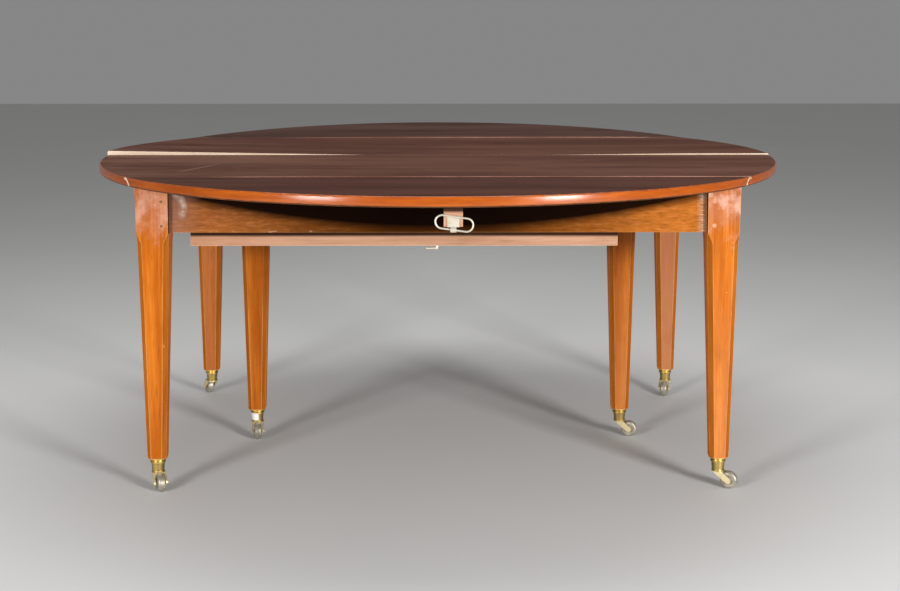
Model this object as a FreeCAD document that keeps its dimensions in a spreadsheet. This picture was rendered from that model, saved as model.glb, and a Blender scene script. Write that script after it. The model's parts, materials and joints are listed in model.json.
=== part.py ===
import FreeCAD, Part
import math
import os
from types import SimpleNamespace

import Sketcher
from FreeCAD import Placement, Rotation, Vector

# Driving dimensions of the table, in millimetres
SIZES = {
    # Top
    "table_height": 735,
    "top_radius": 850,
    "top_thick": 20,
    "rim_round": 3.5,
    "leaf_clear": 19,
    "rule_lip": 3,
    "running_gap": 0.4,
    "overrun": 20,
    # Legs and aprons
    "side_overhang": 161.5,
    "leg_depth": 824,
    "middle_inset": 181,
    "leg_width": 73,
    "leg_flare_width": 2.5,
    "foot_width": 44,
    "leg_ease": 0.8,
    "leg_chamfer": 11,
    "foot_chamfer": 9.5,
    "chamfer_stop": 24,
    "foot_height": 74,
    "apron_height": 112,
    "apron_thick": 25,
    "apron_setback": 14,
    "tenon_length": 30,
    "tenon_thick": 9,
    "tenon_shoulder": 12,
    "peg_radius": 4,
    "peg_length": 40,
    "peg_inset": 15,
    "peg_low_height": 17,
    "peg_high_height": 73,
    "peg_proud": 0.3,
    # Slides between the halves and the middle legs
    "rail_width": 24,
    "rail_height": 70,
    "rail_length": 700,
    "tongue_height": 14,
    "tongue_depth": 6,
    "cross_rail_height": 60,
    "cross_rail_thick": 24,
    "split_peg_radius": 4.5,
    "split_peg_length": 40,
    # Tie board behind the front apron, and its hook
    "tie_left_inset": 81,
    "tie_right_inset": 238,
    "tie_drop": 35,
    "tie_thick": 20,
    "hook_place": 3,
    "hook_wire": 3,
    "hook_drop": 7.5,
    "hook_reach": 23,
    "hook_collar": 5,
    # Lopers and their guides
    "loper_place": 31,
    "loper_width": 38,
    "loper_height": 34,
    "loper_length": 520,
    "guide_web": 16,
    "guide_ledge": 10,
    "ledge_reach": 8,
    "guide_length": 380,
    # Hinges under the rule joints
    "hinge_width": 60,
    "flap_thick": 2,
    "hinge_drop": 3,
    "knuckle_radius": 2.6,
    "pin_radius": 1.2,
    "pin_fit": 0.05,
    "fixed_flap_reach": 28,
    "leaf_flap_reach": 70,
    # Bearing block, strap and ring under each leaf
    "block_width": 38.5,
    "block_height": 37,
    "block_depth": 40,
    "block_back": 17,
    "strap_width": 24,
    "strap_thick": 2,
    "strap_height": 27,
    "eye_radius": 5.2,
    "eye_bore": 3.3,
    "eye_length": 12,
    "eye_drop": 6,
    "ring_wire": 1.9,
    "ring_rise": 27,
    "ring_straight": 50,
    # Casters
    "wheel_radius": 20,
    "wheel_width": 19,
    "wheel_round": 6,
    "hub_radius": 6,
    "rim_depth": 8,
    "web_sink": 2.5,
    "trail": 26,
    "axle_radius": 2.5,
    "axle_fit": 0.05,
    "axle_head": 1.5,
    "arm_gap": 2,
    "arm_thick": 4,
    "arm_boss": 6,
    "crown_radius": 13,
    "crown_low": 37,
    "crown_thick": 3,
    "stem_radius": 4,
    "stem_height": 14,
    "socket_ring": 3.5,
    "socket_flange": 2.5,
    "socket_flare": 6,
    "neck_radius": 15.5,
    "neck_low_radius": 14,
    "ring_proud": 2,
}

# Hinges along each leaf, and pegs along the split, as shares of half the leg span
HINGE_PLACE_SHARES = (-0.62, -0.22, 0.22, 0.62)
SPLIT_PEG_SHARES = (-0.6, -0.2, 0.2, 0.6)
# How much of a hinge's width its middle knuckle takes
MIDDLE_KNUCKLE_SHARE = 0.48
# Where the corners of a fork arm lie, as shares of the crown's and the boss's radius
ARM_BACK_SHARE = -0.7
ARM_FRONT_SHARE = 0.95
ARM_SIDE_SHARE = 0.8
# The ring hangs a little askew in its loose eye
RING_TILT = 8
# The halves of the table, the names of their sides from -X to +X as drawn, and whether they are turned about
HALVES = (("front", ("left", "right"), False), ("rear", ("right", "left"), True))
# Which way each wheel trails behind its leg, in degrees from +X
CASTER_TURNS = {
    "front_left": -68,
    "front_right": -22,
    "middle_left": -82,
    "middle_right": -14,
    "rear_left": 117,
    "rear_right": -104,
}
HALF_TURN = Placement(Vector(), Rotation(Vector(0, 0, 1), 180))
ALONG_X = Rotation(Vector(0, 1, 0), 90)
ALONG_Y = Rotation(Vector(1, 0, 0), -90)

doc = FreeCAD.newDocument("round_table")
sheet = doc.addObject("Spreadsheet::Sheet", "Sizes")
for row, (alias, number) in enumerate(SIZES.items(), start=1):
    sheet.set(f"A{row}", alias)
    sheet.set(f"B{row}", str(number))
    sheet.setAlias(f"B{row}", alias)
doc.recompute()


class Formula:
    """Arithmetic on the sheet's cells, kept as text so that a bound size follows the sheet."""

    def __init__(self, text):
        self.text = str(text)

    def __str__(self):
        return self.text

    def __add__(self, other):
        return Formula(f"({self} + {other})")

    def __sub__(self, other):
        return Formula(f"({self} - {other})")

    def __mul__(self, other):
        return Formula(f"({self} * {other})")

    def __truediv__(self, other):
        return Formula(f"({self} / {other})")

    def __neg__(self):
        return Formula(f"(-1 * {self})")


size = SimpleNamespace(**{alias: Formula(f"Sizes.{alias}") for alias in SIZES})
ZERO = Formula("0")

# Heights and places that several pieces share
under_top = size.table_height - size.top_thick
pin_height = under_top - size.hinge_drop
rule_radius = size.hinge_drop + size.top_thick - size.rule_lip
apron_low = under_top - size.apron_height
half_leg = size.leg_width / 2
leg_x = size.top_radius - size.side_overhang - half_leg
leg_y = size.leg_depth / 2
middle_x = leg_x - size.middle_inset
hinge_line = leg_y + half_leg + size.leg_flare_width + size.leaf_clear
apron_face = leg_y + half_leg - size.apron_setback
apron_back = apron_face - size.apron_thick
side_face = leg_x + half_leg - size.apron_setback
rail_top = under_top - size.running_gap
rail_low = rail_top - size.rail_height
crown_top = size.crown_low + size.crown_thick
half_gap = size.running_gap / 2
LEG_PLACES = {
    "front_left": (-leg_x, -leg_y),
    "front_right": (leg_x, -leg_y),
    "middle_left": (-middle_x, ZERO),
    "middle_right": (middle_x, ZERO),
    "rear_left": (-leg_x, leg_y),
    "rear_right": (leg_x, leg_y),
}
nodes = []


def value(formula):
    """The present number of a formula."""
    return float(sheet.evalExpression(str(formula)))


def bind(target, **formulas):
    for name, formula in formulas.items():
        target.setExpression(name, str(formula))
    return target


def put(target, x=ZERO, y=ZERO, z=ZERO, turn=None):
    """Sets where an object stands, with its turn first."""
    if turn is not None:
        target.Placement = Placement(Vector(), turn)
    for axis, formula in zip("xyz", (x, y, z)):
        target.setExpression(f"Placement.Base.{axis}", str(formula))
    return target


def node(target, label, turned=False):
    """Names a finished piece; a turned one belongs to the rear half."""
    target.Label = label
    if turned:
        target.Placement = HALF_TURN
    nodes.append(target)
    return target


def block(name, x, y, z):
    """A block between pairs of faces along X, Y and Z."""
    made = doc.addObject("Part::Box", name)
    spans = [high - low for low, high in (x, y, z)]
    bind(made, Length=spans[0], Width=spans[1], Height=spans[2])
    return put(made, x[0], y[0], z[0])


def rod(name, radius, length, x, y, z, turn=None):
    """A round rod from its first end."""
    made = bind(doc.addObject("Part::Cylinder", name), Radius=radius, Height=length)
    return put(made, x, y, z, turn)


def join(name, *shapes):
    made = doc.addObject("Part::MultiFuse", name)
    made.Shapes = list(shapes)
    return made


def cut(name, base, *tools):
    made = doc.addObject("Part::Cut", name)
    made.Base = base
    made.Tool = tools[0] if len(tools) == 1 else join(f"{name}_tools", *tools)
    return made


def group(name, *shapes):
    made = doc.addObject("Part::Compound", name)
    made.Links = list(shapes)
    return made


def body(name):
    return doc.addObject("PartDesign::Body", name)


def sketch(owner, plane, offset=ZERO):
    """A sketch on one of the body's own planes, moved along the plane's normal."""
    made = owner.newObject("Sketcher::SketchObject", f"{owner.Name}_sketch")
    support = next(f for f in owner.Origin.OriginFeatures if f.Role == plane)
    made.AttachmentSupport = (support, [""])
    made.MapMode = "FlatFace"
    made.setExpression("AttachmentOffset.Base.z", str(offset))
    return made


def outline(target, corners):
    """Straight lines through corners, each corner held by its two formulas."""
    first = target.GeometryCount
    places = [Vector(value(across), value(up), 0) for across, up in corners]
    for start, end in zip(places, places[1:] + places[:1]):
        target.addGeometry(Part.LineSegment(start, end), False)
    for index, formulas in enumerate(corners):
        line = first + index
        before = first + (index - 1) % len(corners)
        target.addConstraint(Sketcher.Constraint("Coincident", before, 2, line, 1))
        for kind, formula, now in zip(("DistanceX", "DistanceY"), formulas, places[index]):
            held = target.addConstraint(Sketcher.Constraint(kind, -1, 1, line, 1, now))
            target.setExpression(f"Constraints[{held}]", str(formula))
    return target


def ring_line(target, across, up, radius):
    """A circle held by its centre and radius."""
    centre = Vector(value(across), value(up), 0)
    index = target.addGeometry(Part.Circle(centre, Vector(0, 0, 1), value(radius)), False)
    for kind, formula, now in zip(("DistanceX", "DistanceY"), (across, up), centre):
        held = target.addConstraint(Sketcher.Constraint(kind, -1, 1, index, 3, now))
        target.setExpression(f"Constraints[{held}]", str(formula))
    held = target.addConstraint(Sketcher.Constraint("Radius", index, value(radius)))
    target.setExpression(f"Constraints[{held}]", str(radius))
    return target


def oblong(x, y):
    """The corners of a rectangle between two pairs of formulas."""
    return [(x[0], y[0]), (x[1], y[0]), (x[1], y[1]), (x[0], y[1])]


def pad(owner, profile, length, both_ways=False, backwards=False):
    made = owner.newObject("PartDesign::Pad", f"{owner.Name}_pad")
    made.Profile = profile
    made.SideType = "Symmetric" if both_ways else "One side"
    made.Reversed = backwards
    return bind(made, Length=length)


def pocket(owner, profile, length):
    """A cut to both sides of its sketch."""
    made = owner.newObject("PartDesign::Pocket", f"{owner.Name}_pocket")
    made.Profile = profile
    made.SideType = "Symmetric"
    return bind(made, Length=length)


def turned_body(owner, profile, axis):
    made = owner.newObject("PartDesign::Revolution", f"{owner.Name}_turning")
    made.Profile = profile
    made.ReferenceAxis = (profile, [axis])
    made.Angle = 360
    return made


def soften(owner, feature, chosen, radius):
    """Rounds the feature's edges that the test picks."""
    doc.recompute()
    names = [f"Edge{i}" for i, edge in enumerate(feature.Shape.Edges, start=1) if chosen(edge)]
    made = owner.newObject("PartDesign::Fillet", f"{owner.Name}_fillet")
    made.Base = (feature, names)
    return bind(made, Radius=radius)


def slab(name, x, y, z):
    """A board as a padded rectangle."""
    made = body(name)
    pad(made, outline(sketch(made, "XY_Plane", z[0]), oblong(x, y)), z[1] - z[0])
    return made


# Table top
def make_disc():
    """The whole round top with softened arrises, from which the four sections are cut."""
    made = body("disc")
    rise = (under_top, size.table_height)
    profile = outline(sketch(made, "YZ_Plane"), oblong((-size.top_radius, ZERO), rise))
    turning = turned_body(made, profile, "V_Axis")
    soften(made, turning, lambda edge: edge.Curve.TypeId == "Part::GeomCircle", size.rim_round)
    return made


def joint_round(name, radius):
    """The rod about the hinge pins that shapes a rule joint."""
    reach = size.top_radius + size.overrun
    return rod(name, radius, reach * 2, -reach, -hinge_line, pin_height, ALONG_X)


def make_top(half, disc, turned):
    """Centre panel and drop leaf of one half."""
    reach = size.top_radius + size.overrun
    across = (-reach, reach)
    through = (under_top - size.overrun, size.table_height + size.overrun)
    strip = block(f"{half}_strip", across, (-hinge_line, -half_gap), through)
    blank = doc.addObject("Part::MultiCommon", f"{half}_panel_blank")
    blank.Shapes = [disc, join(f"{half}_moulded_strip", strip, joint_round(f"{half}_ovolo", rule_radius))]
    peg_radius = size.split_peg_radius + size.running_gap if turned else size.split_peg_radius
    holes = [split_peg(f"{half}_peg_hole_{i}", share, peg_radius, size.running_gap)
             for i, share in enumerate(SPLIT_PEG_SHARES)]
    node(cut(f"{half}_panel", blank, *holes), f"{half}_top_panel", turned)

    flap = block(f"{half}_flap", across, (-reach, -hinge_line - size.running_gap), through)
    cove = joint_round(f"{half}_cove", rule_radius + size.running_gap)
    blank = doc.addObject("Part::MultiCommon", f"{half}_leaf_blank")
    blank.Shapes = [disc, flap]
    leaf = cut(f"{half}_coved_leaf", blank, cove)
    node(leaf, f"{half}_leaf", turned)


def split_peg(name, share, radius, spare=ZERO):
    """A peg across the split, half in each panel."""
    length = size.split_peg_length + spare * 2
    middle = under_top + size.top_thick / 2
    return rod(name, radius, length, leg_x * share, -length / 2, middle, ALONG_Y)


def make_split_pegs():
    pegs = [split_peg(f"split_peg_{i}", share, size.split_peg_radius)
            for i, share in enumerate(SPLIT_PEG_SHARES)]
    node(group("split_peg_group", *pegs), "split_pegs")


# Legs
def leg_section(owner, height, x, y, sides, chamfer):
    """An eight-sided section about the leg's axis: sides are its left, right, front and back reach."""
    left, right, front, back = x - sides[0], x + sides[1], y - sides[2], y + sides[3]
    corners = [
        (left + chamfer, front), (right - chamfer, front), (right, front + chamfer), (right, back - chamfer),
        (right - chamfer, back), (left + chamfer, back), (left, back - chamfer), (left, front + chamfer),
    ]
    return outline(sketch(owner, "XY_Plane", height), corners)


def make_leg(name, x, y, top, flares=(False, False, False, False)):
    """A tapered leg: square block, chamfer stops, chamfered taper. Flared sides slope from the very top."""
    made = body(name)
    half_foot = size.foot_width / 2
    drop = apron_low - size.foot_height
    half_stop = half_leg - (half_leg - half_foot) * size.chamfer_stop / drop
    flared = [half_leg + size.leg_flare_width if flare else half_leg for flare in flares]
    sections = [
        leg_section(made, top, x, y, flared, size.leg_ease),
        leg_section(made, apron_low, x, y, [half_leg] * 4, size.leg_ease),
        leg_section(made, apron_low - size.chamfer_stop, x, y, [half_stop] * 4, size.leg_chamfer),
        leg_section(made, size.foot_height, x, y, [half_foot] * 4, size.foot_chamfer),
    ]
    loft = made.newObject("PartDesign::AdditiveLoft", f"{name}_taper")
    loft.Profile = sections[0]
    loft.Sections = sections[1:]
    loft.Ruled = True
    return made


# Aprons and their joints in the legs
def on_side(side, near, far):
    """Two distances from the middle as an ordered pair on the left or the right."""
    return (near * side, far * side) if side > 0 else (far * side, near * side)


def joint_peg(name, side, height):
    """A peg through a leg block's front face and the long apron's tenon."""
    face = leg_y + half_leg + size.leg_flare_width * height / size.apron_height + size.peg_proud
    x = (leg_x - half_leg + size.peg_inset) * side
    return rod(name, size.peg_radius, size.peg_length, x, -face, apron_low + height, ALONG_Y)


def tenon(name, x, y):
    """A tenon shouldered above and below, which fills its mortise in the leg."""
    return block(name, x, y, (apron_low + size.tenon_shoulder, under_top - size.tenon_shoulder))


def make_tenons(label, side):
    """The tenons of the long apron and of the side apron in one leg."""
    half_tenon = size.tenon_thick / 2
    long_middle = (apron_face + apron_back) / 2
    side_middle = side_face - size.apron_thick / 2
    inside = leg_x - half_leg
    behind = half_leg - leg_y
    long_tenon = tenon(f"{label}_long_tenon", on_side(side, inside, inside + size.tenon_length),
                       (-long_middle - half_tenon, half_tenon - long_middle))
    side_tenon = tenon(f"{label}_side_tenon",
                       on_side(side, side_middle - half_tenon, side_middle + half_tenon),
                       (behind - size.tenon_length, behind))
    return long_tenon, side_tenon


def long_board(half):
    """The board of the long apron with its loper notch."""
    inside = leg_x - half_leg
    made = slab(f"{half}_long_board", (-inside, inside), (-apron_face, -apron_back), (apron_low, under_top))
    notch_low = rail_top - size.loper_height - size.running_gap
    notch_half = size.loper_width / 2 + size.running_gap
    notch_x = (size.loper_place - notch_half, size.loper_place + notch_half)
    notch = outline(sketch(made, "XZ_Plane"), oblong(notch_x, (notch_low, under_top + size.overrun)))
    pocket(made, notch, (apron_face + size.overrun) * 2)
    return made


def side_board(label, side):
    """The board of a half-length side apron."""
    x = on_side(side, side_face - size.apron_thick, side_face)
    return slab(f"{label}_side_board", x, (half_leg - leg_y, -half_gap), (apron_low, under_top))


def make_frame(half, names, turned):
    """The two legs and three aprons of one half, joined by tenons and pegs."""
    all_tenons, all_pegs = [], []
    for name, side in zip(names, (-1, 1)):
        label = f"{half}_{name}"
        long_tenon, side_tenon = make_tenons(label, side)
        pegs = [joint_peg(f"{label}_peg_{i}", side, height)
                for i, height in enumerate((size.peg_low_height, size.peg_high_height))]
        flares = (side < 0, side > 0, True, False)
        blank = make_leg(f"{label}_leg_blank", leg_x * side, -leg_y, under_top, flares)
        node(cut(f"{label}_mortised_leg", blank, long_tenon, side_tenon, *pegs), f"{label}_leg", turned)
        side_apron = join(f"{label}_tenoned_side", side_board(label, side), side_tenon)
        node(side_apron, f"{label}_side_apron", turned)
        all_tenons.append(long_tenon)
        all_pegs += pegs
    apron = join(f"{half}_tenoned_apron", long_board(half), *all_tenons)
    node(cut(f"{half}_bored_apron", apron, *all_pegs), f"{half}_apron", turned)
    node(group(f"{half}_peg_group", *all_pegs), f"{half}_joint_pegs", turned)


# Slide rails
def make_rail(label, back, face, reach, tongue, y):
    """A rail with a tongue or groove in its face: reach is signed, tongue is its lower and upper edge."""
    made = body(f"{label}_stick")
    corners = [
        (back, rail_low), (face, rail_low), (face, tongue[0]), (face + reach, tongue[0]),
        (face + reach, tongue[1]), (face, tongue[1]), (face, rail_top), (back, rail_top),
    ]
    pad(made, outline(sketch(made, "XZ_Plane", -y[1]), corners), y[1] - y[0])
    return node(made, label)


def make_rails():
    """Fixed rails on both faces of the middle legs; the halves' rails run along them."""
    middle = (rail_low + rail_top) / 2
    half_tongue = size.tongue_height / 2
    half_groove = half_tongue + size.running_gap
    tongue = (middle - half_tongue, middle + half_tongue)
    groove = (middle - half_groove, middle + half_groove)
    groove_depth = size.tongue_depth + size.running_gap
    half_length = size.rail_length / 2
    inner_face = middle_x - half_leg - size.rail_width
    outer_face = middle_x + half_leg + size.rail_width
    inner_run = inner_face - size.running_gap
    outer_run = outer_face + size.running_gap
    fixed_y = (-half_length, half_length)
    front_y = (-apron_back, size.rail_length - apron_back)
    rear_y = (apron_back - size.rail_length, apron_back)
    for name, side in (("left", -1), ("right", 1)):
        make_rail(f"middle_{name}_inner_rail", (middle_x - half_leg) * side, inner_face * side,
                  groove_depth * side, groove, fixed_y)
        make_rail(f"middle_{name}_outer_rail", (middle_x + half_leg) * side, outer_face * side,
                  groove_depth * -side, groove, fixed_y)
        make_rail(f"front_{name}_rail", (inner_run - size.rail_width) * side, inner_run * side,
                  size.tongue_depth * side, tongue, front_y)
        make_rail(f"rear_{name}_rail", (outer_run + size.rail_width) * side, outer_run * side,
                  size.tongue_depth * -side, tongue, rear_y)


def make_middle_frame():
    """The two middle legs and the cross rail between them, below the running rails."""
    for name, side in (("left", -1), ("right", 1)):
        node(make_leg(f"middle_{name}_leg_stick", middle_x * side, ZERO, rail_top), f"middle_{name}_leg")
    inside = middle_x - half_leg
    half_thick = size.cross_rail_thick / 2
    top = rail_low - size.running_gap
    rise = (top - size.cross_rail_height, top)
    cross = slab("cross_board", (-inside, inside), (-half_thick, half_thick), rise)
    node(cross, "middle_cross_rail")


# Tie board and hook
def make_tie_board():
    """The board that ties the front rails behind the apron, with a bent screw hook under it."""
    low = apron_low - size.tie_drop
    y = (-apron_back, size.tie_thick - apron_back)
    along = (size.tie_left_inset - leg_x, leg_x - size.tie_right_inset)
    node(slab("tie_plank", along, y, (low, rail_low)), "tie_board")
    x = -size.hook_place
    middle = size.tie_thick / 2 - apron_back
    bend = low - size.hook_drop
    collar = rod("hook_collar_disc", size.hook_collar, size.hook_wire, x, middle, low - size.hook_wire)
    shank = rod("hook_shank", size.hook_wire, size.hook_drop, x, middle, bend)
    toe = rod("hook_toe", size.hook_wire, size.hook_reach, x - size.hook_reach, middle, bend, ALONG_X)
    elbow = put(bind(doc.addObject("Part::Sphere", "hook_elbow"), Radius=size.hook_wire), x, middle, bend)
    tip = put(bind(doc.addObject("Part::Sphere", "hook_tip"), Radius=size.hook_wire),
              x - size.hook_reach, middle, bend)
    node(join("hook_wire_form", collar, shank, elbow, toe, tip), "screw_hook")


# Lopers
def make_loper(half, turned):
    """A pull-out bearer for the leaf, and the two L-shaped guides that carry it."""
    half_width = size.loper_width / 2
    low = rail_top - size.loper_height
    x = (size.loper_place - half_width, size.loper_place + half_width)
    bar = slab(f"{half}_loper_bar", x, (-apron_face, size.loper_length - apron_face), (low, rail_top))
    node(bar, f"{half}_loper", turned)
    ledge_top = low - size.running_gap
    ledge_low = ledge_top - size.guide_ledge
    y_start = -apron_back
    guides = []
    for name, side in (("near", -1), ("far", 1)):
        inside = half_width + size.running_gap
        lip = half_width - size.ledge_reach
        corners = [(size.loper_place + across * side, up) for across, up in (
            (lip, ledge_low), (inside + size.guide_web, ledge_low), (inside + size.guide_web, under_top),
            (inside, under_top), (inside, ledge_top), (lip, ledge_top))]
        guide = body(f"{half}_{name}_guide")
        pad(guide, outline(sketch(guide, "XZ_Plane", -y_start), corners), size.guide_length, backwards=True)
        guides.append(guide)
    node(group(f"{half}_guide_pair", *guides), f"{half}_loper_guides", turned)


# Hinges
def hinge_barrel(name, radius, x, length):
    return rod(name, radius, length, x, -hinge_line, pin_height, ALONG_X)


def make_hinges(half, turned):
    """Fixed plates with their pins, and leaf plates, under one rule joint."""
    plate_z = (under_top - size.flap_thick, under_top)
    clear = size.knuckle_radius + size.running_gap
    bore = size.pin_radius + size.pin_fit
    middle_length = size.hinge_width * MIDDLE_KNUCKLE_SHARE
    end_length = (size.hinge_width - middle_length) / 2 - size.running_gap
    fixed_parts = []
    leaf_parts = []
    for index, share in enumerate(HINGE_PLACE_SHARES):
        name = f"{half}_hinge_{index}"
        left = leg_x * share - size.hinge_width / 2
        right = left + size.hinge_width
        inner_y = (clear - hinge_line, size.fixed_flap_reach - hinge_line)
        fixed = [block(f"{name}_fixed_flap", (left, right), inner_y, plate_z)]
        for end, start in (("near", left), ("far", right - end_length)):
            fixed.append(hinge_barrel(f"{name}_{end}_knuckle", size.knuckle_radius, start, end_length))
            fixed.append(block(f"{name}_{end}_root", (start, start + end_length),
                               (-hinge_line, inner_y[0]), plate_z))
        fixed_bore = hinge_barrel(f"{name}_fixed_bore", bore, left, size.hinge_width)
        fixed_parts.append(cut(f"{name}_fixed", join(f"{name}_fixed_blank", *fixed), fixed_bore))
        fixed_parts.append(hinge_barrel(f"{name}_pin", size.pin_radius, left, size.hinge_width))

        start = left + (size.hinge_width - middle_length) / 2
        outer_y = (-hinge_line - size.leaf_flap_reach, -hinge_line - clear)
        leaf = [
            block(f"{name}_leaf_flap", (left, right), outer_y, plate_z),
            hinge_barrel(f"{name}_middle_knuckle", size.knuckle_radius, start, middle_length),
            block(f"{name}_middle_root", (start, start + middle_length), (outer_y[1], -hinge_line), plate_z),
        ]
        leaf_bore = hinge_barrel(f"{name}_leaf_bore", bore, left, size.hinge_width)
        leaf_parts.append(cut(f"{name}_leaf", join(f"{name}_leaf_blank", *leaf), leaf_bore))
    node(group(f"{half}_fixed_hinges", *fixed_parts), f"{half}_hinge_plates", turned)
    node(group(f"{half}_leaf_hinges", *leaf_parts), f"{half}_leaf_hinge_plates", turned)


# Bearing block, strap and ring
def make_ring(half, turned):
    """Block under the leaf's edge, strap plate with an eye, and the long ring that stands in it."""
    half_width = size.block_width / 2
    face = size.top_radius - size.block_back
    block_low = under_top - size.block_height
    x = (size.loper_place - half_width, size.loper_place + half_width)
    node(slab(f"{half}_block", x, (-face, size.block_depth - face), (block_low, under_top)),
         f"{half}_bearing_block", turned)

    eye_height = block_low - size.eye_drop
    eye_y = -face - size.eye_radius
    half_strap = size.strap_width / 2
    half_eye = size.eye_length / 2
    neck_top = eye_height + size.eye_radius
    strap_y = (-face - size.strap_thick, -face)
    plate = block(f"{half}_strap_plate", (size.loper_place - half_strap, size.loper_place + half_strap),
                  strap_y, (neck_top, eye_height + size.strap_height))
    neck = block(f"{half}_strap_neck", (size.loper_place - half_eye, size.loper_place + half_eye),
                 strap_y, (eye_height, neck_top))
    eye_start = size.loper_place - half_eye
    barrel = rod(f"{half}_eye", size.eye_radius, size.eye_length, eye_start, eye_y, eye_height, ALONG_X)
    hollow = rod(f"{half}_eye_hollow", size.eye_bore, size.strap_width,
                 size.loper_place - half_strap, eye_y, eye_height, ALONG_X)
    strap = cut(f"{half}_strap_form", join(f"{half}_strap_blank", plate, neck, barrel), hollow)
    node(strap, f"{half}_ring_strap", turned)

    half_straight = size.ring_straight / 2
    bend = size.ring_rise / 2
    pieces = []
    for name, height in (("low", ZERO), ("high", size.ring_rise)):
        pieces.append(rod(f"{half}_ring_{name}", size.ring_wire, size.ring_straight,
                          -half_straight, ZERO, height, ALONG_X))
    for name, side, turn in (("left", -1, 90), ("right", 1, -90)):
        hoop = bind(doc.addObject("Part::Torus", f"{half}_ring_{name}"), Radius1=bend, Radius2=size.ring_wire)
        hoop.Angle3 = 180
        upright = Rotation(Vector(1, 0, 0), 90)
        pieces.append(put(hoop, half_straight * side, ZERO, bend, Rotation(Vector(0, 1, 0), -turn) * upright))
    ring = join(f"{half}_ring_wire", *pieces)
    askew = Rotation(Vector(0, 1, 0), RING_TILT)
    half_turn = -1 if turned else 1
    put(ring, size.loper_place * half_turn, eye_y * half_turn, eye_height,
        (HALF_TURN.Rotation if turned else Rotation()) * askew)
    node(ring, f"{half}_pull_ring")


# Casters
def make_socket(name, x, y):
    """The turned brass socket under a leg: low ring, tapered neck, upper ring, flare and flange."""
    made = body(name)
    low = crown_top + size.running_gap
    top = size.foot_height
    bore = size.stem_radius + size.axle_fit
    bore_top = crown_top + size.stem_height + size.running_gap
    flange_low = top - size.socket_flange
    flare_low = flange_low - size.socket_flare
    ring_low = flare_low - size.socket_ring
    ring_reach = size.neck_radius + size.ring_proud
    low_reach = size.neck_low_radius + size.ring_proud / 2
    flange = size.foot_width / 2
    corners = [
        (bore, low), (low_reach, low), (low_reach, low + size.socket_ring / 2),
        (size.neck_low_radius, low + size.socket_ring), (size.neck_radius, ring_low - size.socket_ring / 2),
        (ring_reach, ring_low), (ring_reach, flare_low),
        (size.neck_radius, flare_low + size.socket_flare / 3),
        (flange - size.ring_proud, flange_low), (flange, flange_low), (flange, top), (ZERO, top),
        (ZERO, bore_top), (bore, bore_top),
    ]
    turned_body(made, outline(sketch(made, "XZ_Plane"), corners), "V_Axis")
    return put(made, x, y)


def make_fork(leg, x, y, turn):
    """Swivelling fork: crown, stem and two arms, with its axle."""
    half_inside = size.wheel_width / 2 + size.arm_gap
    fork_width = (half_inside + size.arm_thick) * 2
    fork = body(f"{leg}_fork")
    crown = ring_line(sketch(fork, "XY_Plane", size.crown_low), ZERO, ZERO, size.crown_radius)
    pad(fork, crown, size.crown_thick)
    web = [
        (size.crown_radius * ARM_BACK_SHARE, crown_top),
        (size.trail - size.arm_boss * ARM_SIDE_SHARE, size.wheel_radius - size.arm_boss * ARM_SIDE_SHARE),
        (size.trail + size.arm_boss * ARM_SIDE_SHARE, size.wheel_radius + size.arm_boss * ARM_SIDE_SHARE),
        (size.crown_radius * ARM_FRONT_SHARE, crown_top),
    ]
    pad(fork, outline(sketch(fork, "XZ_Plane"), web), fork_width, both_ways=True)
    boss = ring_line(sketch(fork, "XZ_Plane"), size.trail, size.wheel_radius, size.arm_boss)
    pad(fork, boss, fork_width, both_ways=True)
    slot_x = (-size.crown_radius - size.overrun, size.trail + size.wheel_radius + size.overrun)
    slot = outline(sketch(fork, "XZ_Plane"), oblong(slot_x, (-size.overrun, size.crown_low)))
    pocket(fork, slot, half_inside * 2)
    arch_radius = size.wheel_radius + size.arm_gap
    arch = ring_line(sketch(fork, "XZ_Plane"), size.trail, size.wheel_radius, arch_radius)
    pocket(fork, arch, half_inside * 2)
    stem = ring_line(sketch(fork, "XY_Plane", crown_top), ZERO, ZERO, size.stem_radius)
    pad(fork, stem, size.stem_height)
    eye = ring_line(sketch(fork, "XZ_Plane"), size.trail, size.wheel_radius, size.axle_radius)
    pocket(fork, eye, fork_width + size.overrun)

    axle = body(f"{leg}_axle")
    shaft = ring_line(sketch(axle, "XZ_Plane"), size.trail, size.wheel_radius, size.axle_radius)
    pad(axle, shaft, fork_width + size.axle_head, both_ways=True)
    made = group(f"{leg}_fork_set", fork, axle)
    put(made, x, y, turn=turn)
    node(made, f"{leg}_caster_fork")


def make_wheel(leg, x, y, turn, angle):
    """A solid metal wheel with a rounded tread and sunk sides."""
    made = body(f"{leg}_tread")
    half_width = size.wheel_width / 2
    half_web = half_width - size.web_sink
    inside = size.wheel_radius - size.rim_depth
    bore = size.axle_radius + size.axle_fit
    corners = [
        (bore, -half_width), (size.hub_radius, -half_width),
        (size.hub_radius, -half_web), (inside, -half_web),
        (inside, -half_width), (size.wheel_radius, -half_width), (size.wheel_radius, half_width),
        (inside, half_width), (inside, half_web), (size.hub_radius, half_web), (size.hub_radius, half_width),
        (bore, half_width),
    ]
    turning = turned_body(made, outline(sketch(made, "XY_Plane"), corners), "V_Axis")
    limit = value(size.wheel_radius - size.rim_depth / 2)
    soften(made, turning, lambda edge: edge.Curve.TypeId == "Part::GeomCircle" and edge.Curve.Radius > limit,
           size.wheel_round)
    ahead_share, aside_share = math.cos(math.radians(angle)), math.sin(math.radians(angle))
    put(made, x + size.trail * ahead_share, y + size.trail * aside_share, size.wheel_radius, turn)
    node(made, f"{leg}_caster_wheel")


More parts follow.
